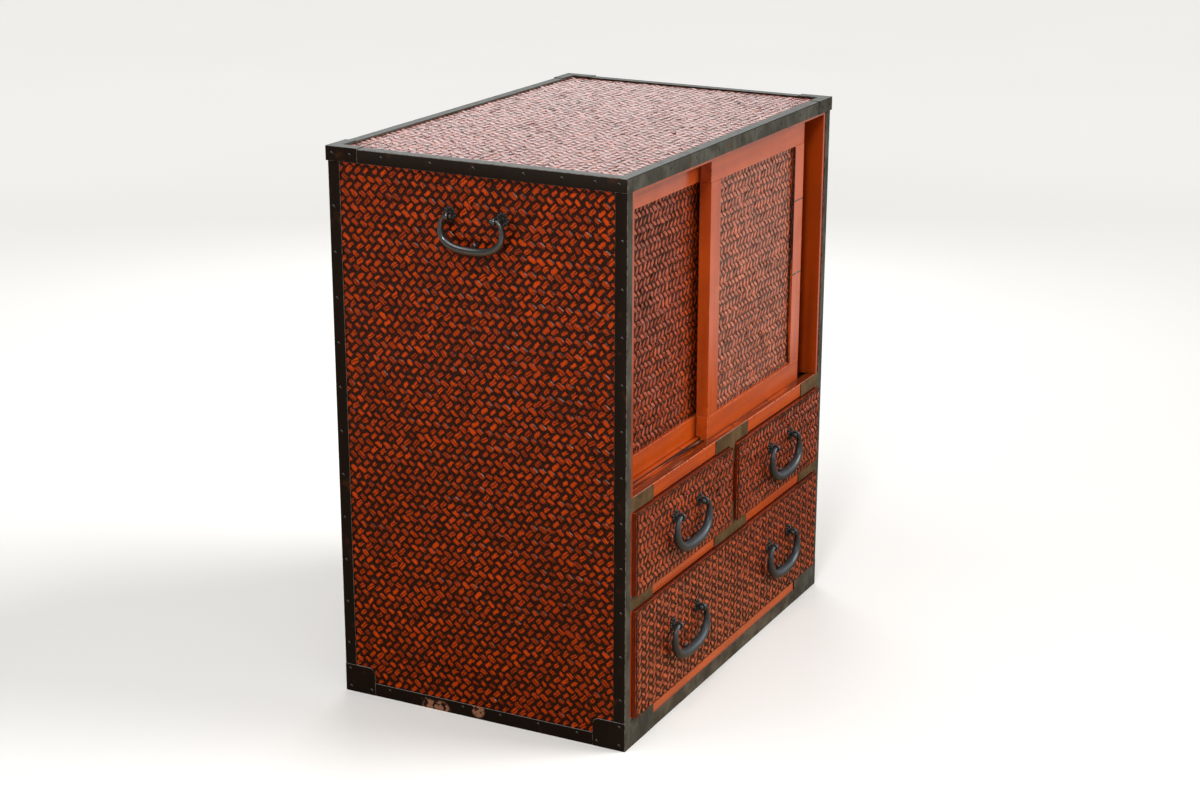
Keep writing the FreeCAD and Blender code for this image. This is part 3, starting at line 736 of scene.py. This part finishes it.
cap_low, cap_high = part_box("top_corner_caps")
CAP_INSET = (0.0095, 0.036)
cap_x, near_y, far_y = ([cap_high.x - inset for inset in CAP_INSET],
                        [cap_low.y + inset for inset in CAP_INSET],
                        [cap_high.y - inset for inset in CAP_INSET])
cap_nails = {
    (0, -1, 0): [(x, cap_low.y, BAND_Z) for x in cap_x],
    (0, 1, 0): [(way * x, cap_high.y, BAND_Z) for way in (-1, 1) for x in cap_x],
    (1, 0, 0): [(cap_high.x, y, BAND_Z) for y in near_y + far_y],
    (-1, 0, 0): [(cap_low.x, y, BAND_Z) for y in far_y],
}
iron_piece("top_corner_caps", PLATE_EASE, strap_iron, cap_nails)

shoe_low, shoe_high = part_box("corner_shoes")
SHOE_NAILS = [(0.008, 0.0335), (0.0085, 0.0075), (0.041, 0.0075)]
shoe_nails = sides([(shoe_high.x, y, z) for inset, z in SHOE_NAILS
                    for y in (shoe_low.y + inset, shoe_high.y - inset)])
iron_piece("corner_shoes", IRON_EASE, strap_iron, shoe_nails)

FOOT_START, FOOT_STEP, FOOT_Z = 0.07, 0.057, 0.0125
foot_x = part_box("bottom_straps")[1].x
foot_nails = sides([(foot_x, shoe_low.y + FOOT_START + FOOT_STEP * row, FOOT_Z) for row in range(6)])
iron_piece("bottom_straps", PLATE_EASE, foot_iron, foot_nails)
for node in ("rail_end_plates", "rail_tee_plates"):
    iron_piece(node, PLATE_EASE, plate_iron, {})
bpy.data.objects.remove(nail_head)
print("ironwork is on")

# %% [markdown]
# ## The woven bamboo
# The skins are a twill braid: flat strips run along two diagonals, and each goes over two
# strips and under two. What shows is one raised float for each pair of crossings, in rows
# that lean one way and the other in turn. A bump map would do from far away, but the strips
# catch the light on their upper edges, so one float is modelled as a low cushion with a few
# faces, an Array modifier repeats it along the row and another repeats the rows. The second
# diagonal is the same float leaned the other way and moved on by half a step and one row.
# Bamboo is never even, so each float is then turned, narrowed and lowered a little.

# %% One float and its lattice
SUNK, SHADE_BORDER, STRIPS = 0.25, 6.0, 997
TURN, LEAN, DRIFT, SWELL, SINK = 4.0, 4.5, 0.34, (0.82, 1.06), 0.22
OCTAGON = 0.924


def make_float(length, width, blunt):
    """One float in millimetres: an oblong with cut corners whose top is drawn in and raised."""
    piece = primitive(bpy.ops.mesh.primitive_cylinder_add, "float", (length, width, 1), vertices=8,
                      radius=0.5, depth=SUNK * 2, rotation=(0, 0, math.pi / 8))
    for vertex in piece.data.vertices:
        for axis, size in enumerate((length, width)):
            share = abs(vertex.co[axis]) * 2 / size
            vertex.co[axis] = math.copysign((share / OCTAGON) ** blunt * size / 2, vertex.co[axis])
    edit(piece, lambda: choose(piece, lambda middle, normal: normal.z < -0.9),
         lambda: bpy.ops.mesh.delete(type="FACE"),
         lambda: choose(piece, lambda middle, normal: normal.z > 0.9),
         lambda: bpy.ops.mesh.inset(thickness=0.8, depth=0.52),
         lambda: bpy.ops.transform.resize(value=(0.94, 1, 1)),
         lambda: bpy.ops.mesh.inset(thickness=1.0, depth=0.2))
    layer = piece.data.uv_layers.active.data
    for loop in piece.data.loops:
        place = piece.data.vertices[loop.vertex_index].co
        layer[loop.index].uv = (place.x / length + 0.5, place.y / width + 0.5)
    return piece


def array(piece, count, step):
    """Repeats a piece by an Array modifier."""
    modify(piece, "ARRAY", count=count, use_relative_offset=False, use_constant_offset=True,
           constant_offset_displace=step)


def lattice(size, pitch, row, lean, length, width, blunt, seed):
    """All floats of a rectangle from (0, 0) to its size, lying flat with their crests at z = 0."""
    sets = []
    for way, shift in ((1, 0.25), (-1, 0.75)):
        piece = make_float(length, width, blunt)
        crest = max(vertex.co.z for vertex in piece.data.vertices)
        points = len(piece.data.vertices)
        start = (pitch * (shift - 1), row * (0.25 if way > 0 else 1.25) - 2 * row, -crest)
        turn = Matrix.Rotation(way * math.radians(lean), 4, "Z")
        piece.data.transform(Matrix.Translation(start) @ turn)
        columns = math.ceil(size[0] / pitch) + 2
        rows = math.ceil(size[1] / (2 * row)) + 2
        array(piece, columns, (pitch, 0, 0))
        array(piece, rows, (0, 2 * row, 0))
        loosen(piece, size, points, columns, rows, way, seed + way)
        sets.append(piece)
    return join(sets, "floats")


def loosen(piece, size, points, columns, rows, way, seed):
    """Gives each float its own turn, width, height and tone. A strip's floats share some of it.

    The fourth value of the mark falls to nothing at the border of the rectangle, where the bamboo is
    painted dark as shade.
    """
    random = np.random.default_rng(seed)
    count = columns * rows
    place = np.zeros(len(piece.data.vertices) * 3, np.float32)
    piece.data.vertices.foreach_get("co", place)
    place = place.reshape(count, points, 3)
    middle = place.mean(axis=1, keepdims=True)
    middle[:, :, 2] = 0
    column, line = np.arange(count) % columns, np.arange(count) // columns
    strip_tone = random.random(STRIPS)[(column + way * line * 2) % STRIPS]
    turn = np.radians(random.normal(0, TURN, count))
    swell = random.uniform(*SWELL, (count, 1))
    local = place - middle
    cos, sin = np.cos(turn)[:, None], np.sin(turn)[:, None]
    x, y = local[:, :, 0] * cos - local[:, :, 1] * sin, local[:, :, 0] * sin + local[:, :, 1] * cos
    drift = random.normal(0, DRIFT, (count, 2, 1))
    sink = random.uniform(0, SINK, (count, 1))
    sink *= random.random((count, 1)) < (0.9 if way < 0 else 0.5)
    for axis, value in enumerate((x, y)):
        place[:, :, axis] = middle[:, :, axis] + value * swell + drift[:, axis]
    lean = np.tan(np.radians(random.normal(0, LEAN, (2, count, 1))))
    place[:, :, 2] += y * lean[0] + x * lean[1] * 0.5 - sink
    piece.data.vertices.foreach_set("co", place.ravel())
    tone = np.clip(0.35 * strip_tone + 0.65 * random.random(count), 0, 1)
    look = np.stack([tone, random.random(count), random.random(count), np.ones(count)], 1)
    look = np.repeat(look, points, 0)
    flat = place.reshape(-1, 3)[:, :2]
    look[:, 3] = np.clip(np.minimum(flat, np.array(size) - flat).min(axis=1) / SHADE_BORDER, 0, 1)
    layer = piece.data.attributes.new("strip", "FLOAT_COLOR", "POINT")
    layer.data.foreach_set("color", look.astype(np.float32).ravel())


# %% [markdown]
# The lattice is cut to its rectangle by four bisect planes, and laid on a thin ground sheet,
# which is what shows dark between the floats. Then the whole skin turns to its place.

# %% A woven skin
GROUND_GAP = 0.8


def weave(node, axes, twill, seed, place, finish):
    """The woven skin of a node. Its width and height run along the axes; place turns it there."""
    low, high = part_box(node)
    width, height = size = [(high[axis] - low[axis]) / MM for axis in axes]
    floats = lattice(size, *twill, seed)
    for point, normal in (((0, 0, 0), (-1, 0, 0)), ((0, 0, 0), (0, -1, 0)),
                          ((width, 0, 0), (1, 0, 0)), ((0, height, 0), (0, 1, 0))):
        cut(floats, point, normal, use_fill=True, clear_outer=True)
    thickness = min(high - low) / MM
    ground = block("ground", (width, height, thickness - GROUND_GAP),
                   (width / 2, height / 2, -(thickness + GROUND_GAP) / 2))
    for loop in ground.data.uv_layers.active.data:
        loop.uv = (0, 0)
    skin = join([floats, ground], node + "_braid")
    skin.data.transform(place @ Matrix.Scale(MM, 4))
    smooth(skin, 15)
    stands_for(skin, finish, "woven_bamboo", node)


# %% [markdown]
# Each float is painted in the strip's own coordinates, along and across, which its UV map holds. The
# orange sits on the crest in a ragged patch with a dark tone round it, darker towards the float's edges,
# and many strips have split, which shows as a dark line along them. Pale specks in the dark tone are
# painted glints.

# %% Bamboo group
STRIP_LENGTH, STRIP_WIDTH = 14.0, 7.4


def build_bamboo(tree, given):
    uv = add(tree, "SeparateXYZ", {0: add(tree, "UVMap").outputs[0]}).outputs
    look = add(tree, "Attribute", attribute_name="strip").outputs
    free_of_border_shade = look["Alpha"]
    tone, split, patch = add(tree, "SeparateColor", {0: look["Color"]}).outputs
    along = maths(tree, "ABSOLUTE", minus(tree, uv["X"], 0.5))
    across = maths(tree, "ABSOLUTE", minus(tree, uv["Y"], 0.5))
    from_end = times(tree, minus(tree, 0.5, along), STRIP_LENGTH * 0.7)
    from_end = minus(tree, from_end, maths(tree, "FRACT", times(tree, tone, 7.0)))
    from_side = times(tree, minus(tree, 0.5, across), STRIP_WIDTH)
    inside = add(tree, "Math", {0: from_end, 1: from_side, 2: 2.5}, operation="SMOOTH_MIN").outputs[0]
    for scale, spread in ((420.0, 3.4), (170.0, 3.0), (60.0, 2.0)):
        ragged = times(tree, minus(tree, blotches(tree, scale, 2.0), 0.5), spread)
        inside = maths(tree, "ADD", inside, ragged)
    inside = minus(tree, inside, times(tree, patch, given["Cover"]))
    shown = between(tree, minus(tree, inside, given["Margin"]), 0.0, 0.7)
    seed = times(tree, tone, 61.0)
    stretched = add(tree, "CombineXYZ", {0: times(tree, uv["X"], 1.2), 1: times(tree, uv["Y"], 7.0),
                                         2: seed}).outputs[0]
    fibres = clouded(tree, stretched, 1.6, 3.0)
    wander = add(tree, "CombineXYZ", {0: times(tree, uv["X"], 1.6), 2: seed}).outputs[0]
    wander = minus(tree, clouded(tree, wander, 1.0, 2.0), 0.5)
    line = maths(tree, "ADD", uv["Y"], times(tree, wander, 0.9))
    line = maths(tree, "ABSOLUTE", minus(tree, line, 0.5))
    crack = between(tree, line, 0.03, 0.11, 1.0, 0.0)
    crack = times(tree, crack, maths(tree, "LESS_THAN", split, given["Splits"]))
    mouth = minus(tree, uv["X"], times(tree, patch, 0.8))
    crack = times(tree, crack, between(tree, mouth, -0.25, 0.0))
    body = mix(tree, between(tree, tone, 0.0, 0.8), given["Dull"], given["Bright"])
    body = mix(tree, between(tree, inside, 0.6, 2.2, 0.75, 0.0), body, given["Dull"])
    body = mix(tree, between(tree, blotches(tree, 14.0, 4.0), 0.45, 0.75, 0.0, 0.6), body, given["Dull"])
    body = mix(tree, between(tree, fibres, 0.3, 0.55, 0.6, 0.0), body, given["Dull"])
    # Pale specks in the dark gaps are painted glints off lumps of lacquer.
    speck_glints = times(tree, between(tree, blotches(tree, 700.0, 2.0), 0.56, 0.66), given["SpeckGlints"])
    gap_with_glints = mix(tree, speck_glints, given["Gap"], colour(96, 66, 58))
    # Near the border of each skin the crests fade to the dark tone: painted shade at the panel's edges.
    shown = times(tree, shown, between(tree, free_of_border_shade, 0.1, 0.7, 0.25, 1.0))
    body = mix(tree, times(tree, shown, minus(tree, 1.0, crack)), gap_with_glints, body)
    return {"Color": body, "Roughness": between(tree, shown, 0.0, 1.0, 0.55, given["Rough"]),
            "Height": times(tree, minus(tree, fibres, crack), 0.6),
            "Gloss": times(tree, shown, given["Gloss"])}


bamboo_group = new_group("bamboo strips", build_bamboo, {
    "Bright": colour(194, 66, 5), "Dull": colour(132, 42, 6), "Gap": colour(40, 12, 3),
    "Cover": 0.5, "Splits": 0.7, "Margin": 0.15, "Rough": 0.4, "SpeckGlints": 0.3, "Gloss": 0.2})


def bamboo(name, shine=0.0, coat=None, gloss=0.22, **values):
    """Bamboo with a coat of one weight, or else with a coat on the crests alone."""
    finish, tree, shader = material(name, {"Specular IOR Level": shine, "Coat Weight": coat or 0.0,
                                           "Coat Roughness": gloss})
    looks = use(tree, bamboo_group, **values)
    connect(tree, shader, looks, 0.0003)
    if coat is None:
        tree.links.new(looks["Gloss"], shader.inputs["Coat Weight"])
    return finish


side_bamboo = bamboo("bamboo_sides", coat=0.22)
FULL_FLOATS = {"Cover": 0.3, "Splits": 0.4, "Margin": -0.3, "Gloss": 1.0}
front_bamboo = bamboo("bamboo_front", 0.1, gloss=0.24, Bright=colour(192, 74, 12),
                      Dull=colour(138, 46, 10), Gap=colour(58, 28, 14), **FULL_FLOATS)
# The right door's weave is a paler copy of the front's: its pale salmon is painted sheen, the reflection
# that door shows.
sheen_bamboo = bamboo("bamboo_painted_sheen", 0.4, gloss=0.26, Bright=colour(218, 106, 62),
                      Dull=colour(162, 78, 48), Gap=colour(86, 50, 36), **FULL_FLOATS)
top_bamboo = bamboo("bamboo_top", 0.8, 0.2, Bright=colour(170, 76, 46), Dull=colour(130, 56, 38),
                    Gap=colour(74, 42, 34), Cover=0.2, Splits=0.5, Margin=-0.4)

# %% [markdown]
# The two sides share one twill with bigger floats, and the doors and drawers have a finer
# one. On the lowest drawer it is turned, so that its rows stand upright. The rows on the top
# run along its width. Each twill is written as its pitch along a row, the height of a row,
# the lean of a float in degrees, a float's length and width, and how blunt its ends are.

# %% The eight woven skins
SIDE = (12.8, 9.73, 41, 14.6, 7.3, 0.5)
FRONT = (11.0, 10.0, 50, 15.0, 6.4, 0.8)
LOW_FRONT = (11.4, 10.8, 48, 15.4, 6.2, 0.8)
TOP = (12.0, 10.0, 41, 14.4, 7.2, 0.5)


def weave_front(node, seed):
    low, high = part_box(node)
    finish = sheen_bamboo if node == "right_door_weave" else front_bamboo
    if node == "lower_drawer_weave":
        turned = UPRIGHT_TURN @ Matrix.Rotation(math.pi / 2, 4, "Z")
        place = Matrix.Translation((high.x, low.y, low.z)) @ turned
        weave(node, (2, 0), LOW_FRONT, seed, place, finish)
    else:
        weave(node, (0, 2), FRONT, seed, Matrix.Translation(low) @ UPRIGHT_TURN, finish)


for number, node in enumerate(name for name in sorted(frame["nodes"]) if name.endswith("_weave")):
    weave_front(node, 10 + 4 * number)

for number, (node, way) in enumerate((("woven_skin_left", -1), ("woven_skin_right", 1))):
    low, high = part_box(node)
    outer = low.x if way < 0 else high.x
    start = high.y if way < 0 else low.y
    turn = Matrix.Rotation(way * math.pi / 2, 4, "Z") @ UPRIGHT_TURN
    place = Matrix.Translation((outer, start, low.z)) @ turn
    weave(node, (1, 2), SIDE, 40 + 4 * number, place, side_bamboo)

low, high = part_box("woven_skin_top")
place = Matrix.Translation((low.x, low.y, high.z))
weave("woven_skin_top", (0, 1), TOP, 60, place, top_bamboo)
print("woven skins are on")

# %% [markdown]
# ## Handles
# A bail is a forged bar, thick at the bow and thin at its ends, which bend inwards through
# two iron eyes. A curve gives that directly: its points follow the bar and each has its own
# radius. The curve then becomes a mesh. The bar, the eyes, the chrysanthemum washer and the
# stud are modelled in millimetres, once for each drawer and once for the two sides, and copied
# to each handle.

# %% Handle sizes
DRAWER_HANDLE = {"spacing": 74.0, "lean": 1.2, "half": 49.5, "drop": 47.0, "bar": 6.65, "end": 3.0,
                 "eye": 9.0, "rest": 10.5, "rise": 2.8, "wall": 18.0}
SIDE_HANDLE = {"spacing": 75.0, "lean": 4.0, "half": 44.0, "drop": 41.2, "bar": 5.3, "end": 2.6,
               "eye": 13.0, "rest": 13.0, "rise": 5.5, "wall": 19.6}
EYE_WIDTH, TIP, SHOULDER, SQUARE = 4.0, 4.4, 0.36, 0.8


def bar_line(handle):
    """Half the bar's centreline, from its tip to the middle of the bow: (out, drop, radius)."""
    end, swell = handle["end"], (handle["bar"] - handle["end"]) / handle["drop"]
    eye = handle["spacing"] / 2 - handle["lean"]
    pin, tip = eye + EYE_WIDTH / 2, eye - EYE_WIDTH / 2 - TIP
    line = [(tip + share * end, 0, swollen * end)
            for share, swollen in ((0, 0.55), (0.15, 0.9), (0.45, 1.12), (0.8, 1.14), (1.15, 1.0))]
    elbow, shoulder = handle["half"] - pin, handle["drop"] * SHOULDER
    for step in range(10):
        turn = math.pi / 2 * step / 10
        drop = shoulder * (1 - math.cos(turn))
        line.append((pin + elbow * math.sin(turn), drop, end + swell * drop))
    for step in range(13):
        turn = math.pi / 2 * step / 12
        drop = shoulder + (handle["drop"] - shoulder) * math.sin(turn) ** SQUARE
        across = handle["half"] * max(math.cos(turn), 0) ** SQUARE
        line.append((across, drop, end + swell * drop))
    return line


# %% Bail, eyes, washer and stud
BAR_SIDES, WASHER_THICKNESS, HAMMERED = 5, 1.6, (0.22, 0.21)
EYE_GAP, EYE_WALL, SHANK, LEG, LEG_SPAN = 0.3, 1.2, 5.0, 1.6, 21.0


def make_bar(handle):
    half = bar_line(handle)
    line = [(-out, drop, radius) for out, drop, radius in half] + half[-2::-1]
    tilt = (handle["rest"] - handle["eye"]) / handle["drop"]
    data = bpy.data.curves.new("bail", "CURVE")
    data.dimensions, data.bevel_depth, data.bevel_resolution = "3D", 1.0, BAR_SIDES
    data.use_fill_caps = True
    spline = data.splines.new("POLY")
    spline.points.add(len(line) - 1)
    for point, (out, drop, radius) in zip(spline.points, line):
        point.co = (out, -handle["eye"] - tilt * drop, -drop, 1)
        point.radius = radius
    activate(new_object("bail", data))
    bpy.ops.object.convert(target="MESH")
    bar = bpy.context.object
    edit(bar, lambda: bpy.ops.mesh.remove_doubles(threshold=1e-4),
         lambda: bpy.ops.mesh.normals_make_consistent(inside=False))
    height, scale = HAMMERED
    for vertex in bar.data.vertices:
        vertex.co += vertex.normal * (height * noise.noise(vertex.co * scale))
    smooth(bar, 60)
    return bar


def make_eyes(handle):
    """Two round eyes on leaning necks, with shanks whose legs are bent back inside the board."""
    hole, wall = handle["end"] + EYE_GAP, EYE_WALL
    parts = []
    for side in (-1, 1):
        x, lean = side * handle["spacing"] / 2, -side * handle["lean"]
        ring = primitive(bpy.ops.mesh.primitive_torus_add, "ring", (1, 1, 1), major_radius=hole + wall,
                         minor_radius=wall, major_segments=24, minor_segments=10,
                         rotation=(0, math.pi / 2, 0))
        ring.data.transform(Matrix.Translation((x + lean, -handle["eye"], 0)) @
                            Matrix.Diagonal((EYE_WIDTH / 2 / wall, 1, 1, 1)))
        start, root, reach = -handle["eye"] + hole + wall, -WASHER_THICKNESS, handle["wall"] + LEG
        neck = block("neck", (EYE_WIDTH, root - start, SHANK), (x, (start + root) / 2, 0))
        edit(neck, lambda: choose(neck, lambda middle, normal: normal.y < -0.9),
             lambda: bpy.ops.transform.translate(value=(lean, 0, 0)))
        shank = block("shank", (EYE_WIDTH, reach - root, SHANK), (x, (root + reach) / 2, 0))
        legs = block("legs", (EYE_WIDTH, LEG, LEG_SPAN), (x, handle["wall"] + LEG / 2, 0))
        for part in (neck, shank, legs):
            modify(part, "BEVEL", width=0.5, segments=2)
        parts += [ring, neck, shank, legs]
    eyes = join(parts, "eyes")
    smooth(eyes, 50)
    return eyes


PETALS, PETAL, PETAL_PLACE = 12, (3.1, 1.95, 1.25), (6.75, 0, 0.35)
DISC, DISC_RISE, BOSS, BOSS_RISE = 8.4, 0.6, 3.9, 1.5
STUD, STUD_GAP, DOME_FALL = 3.7, 0.3, 1.5
DOME = ((0.85, 0.86), (0.5, 0.62), (0.15, 0.4))
NAIL, NAIL_PLACE = (2.4, 2.4, 12.4), (0, 0, -5.8)


def make_washer():
    """A chrysanthemum: a thin disc, a ring of raised petals and a low boss round the shank."""
    plate = disc("disc", 36, DISC, DISC_RISE)
    petals = []
    for number in range(PETALS):
        turn = 2 * math.pi * (number + 0.5) / PETALS
        petal = primitive(bpy.ops.mesh.primitive_uv_sphere_add, "petal", PETAL,
                          segments=10, ring_count=6, radius=1)
        cut(petal, (0, 0, 0), UP, use_fill=True, clear_inner=True)
        petal.data.transform(Matrix.Rotation(turn, 4, "Z") @ Matrix.Translation(PETAL_PLACE))
        petals.append(petal)
    boss = disc("boss", 20, BOSS, BOSS_RISE)
    modify(boss, "BEVEL", width=0.5, segments=2, limit_method="ANGLE")
    washer = join([plate, boss] + petals, "washer")
    smooth(washer, 50)
    return washer


def make_stud(handle):
    """The stud whose round head shows just above the bow, and its square nail."""
    post = disc("stud", 20, STUD, handle["rest"] - handle["bar"] - STUD_GAP)

    def dome():
        for rise, share in DOME:
            bpy.ops.mesh.extrude_region_move(TRANSFORM_OT_translate={"value": (0, 0, rise)})
            bpy.ops.transform.resize(value=(share, share, 1))

    edit(post, lambda: choose(post, lambda middle, normal: normal.z > 0.9),
         lambda: bpy.ops.transform.translate(value=(0, 0, -DOME_FALL)), dome)
    nail = block("nail", NAIL, NAIL_PLACE)
    stud = join([post, nail], "stud")
    smooth(stud, 50)
    return stud


# %% [markdown]
# Every handle is the same set of pieces, moved and turned: the drawers' face the front, the
# carrying handles face the sides. The washer and the stud are modelled facing up, so a
# quarter turn lays them on the wall first.

# %% Put the handles on
HANDLES = {
    "left_drawer": {"left_drawer_bail": 0}, "right_drawer": {"right_drawer_bail": 0},
    "lower_drawer": {"lower_drawer_left_bail": 0, "lower_drawer_right_bail": 0},
    "side": {"left_carrying_bail": -90, "right_carrying_bail": 90},
}


def handle_place(handle, node, turn):
    """Where a handle's own origin is: on the wall, in the middle of its two pins."""
    low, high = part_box(node)
    middle, top = (low + high) / 2, high.z - handle["end"] * math.cos(math.pi / 12) * MM
    if turn:
        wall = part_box("woven_skin_left" if turn < 0 else "woven_skin_right")
        middle = Vector((wall[turn > 0].x, middle.y, top))
    else:
        middle = Vector((middle.x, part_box("left_drawer_weave")[0].y, top))
    turned = Matrix.Rotation(math.radians(turn), 4, "Z")
    return Matrix.Translation(middle) @ turned @ Matrix.Scale(MM, 4)


for owner, bails in HANDLES.items():
    handle, handle_iron = DRAWER_HANDLE, drawer_handle_iron
    if owner == "side":
        handle, handle_iron = SIDE_HANDLE, side_handle_iron
    bar, eyes, washer, stud = make_bar(handle), make_eyes(handle), make_washer(), make_stud(handle)
    sets = {"eye_posts": [], "rosettes": [], "rest_studs": []}
    for node, turn in bails.items():
        place = handle_place(handle, node, turn)
        stands_for(join([copy_to(bar, place)], node + "_forged"), handle_iron, "handle_iron", node)
        sets["eye_posts"].append(copy_to(eyes, place))
        for side in (-1, 1):
            shift = Matrix.Translation((side * handle["spacing"] / 2, 0, 0))
            sets["rosettes"].append(copy_to(washer, place @ shift @ UPRIGHT_TURN))
        foot = Matrix.Translation((0, 0, handle["rise"] - handle["drop"]))
        sets["rest_studs"].append(copy_to(stud, place @ foot @ UPRIGHT_TURN))
    for kind, pieces in sets.items():
        node = owner + "_" + kind
        finish = washer_iron if kind == "rosettes" else handle_iron
        stands_for(join(pieces, node + "_forged"), finish, "handle_iron", node)
    for pattern in (bar, eyes, washer, stud):
        bpy.data.objects.remove(pattern)
print("handles are on")

# %% [markdown]
# ## Finishes for the CAD solids that stay
# The boards keep their CAD shape. Only their finish changes: lacquer where the case shows,
# bare wood inside and behind.

# %% Finishes on CAD nodes
kept = {
    "side_board_left": shaded_case_lacquer, "side_board_right": shaded_case_lacquer, "top_board": shaded_case_lacquer,
    "back_board": back_wood, "compartment_floor": wood_x, "drawer_shelf": wood_x,
    "bottom_board": wood_x, "left_door_board": wood_z, "right_door_board": wood_z,
}
for drawer in ("left_drawer", "right_drawer", "lower_drawer"):
    kept[drawer + "_walls"], kept[drawer + "_bottom"] = wood_y, wood_x
for node, finish in kept.items():
    data = frame["nodes"][node].data
    data.materials.clear()
    data.materials.append(finish)
bare = [name for name, node in frame["nodes"].items() if not node.hide_render and name not in kept]
print("CAD nodes without a finish:", bare)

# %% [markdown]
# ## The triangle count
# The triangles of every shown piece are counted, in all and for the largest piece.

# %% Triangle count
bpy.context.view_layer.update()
triangles = {o.name: sum(len(p.vertices) - 2 for p in o.data.polygons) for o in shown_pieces()}
largest = max(triangles.items(), key=lambda item: item[1])
print("triangles in all:", sum(triangles.values()), "largest:", largest)
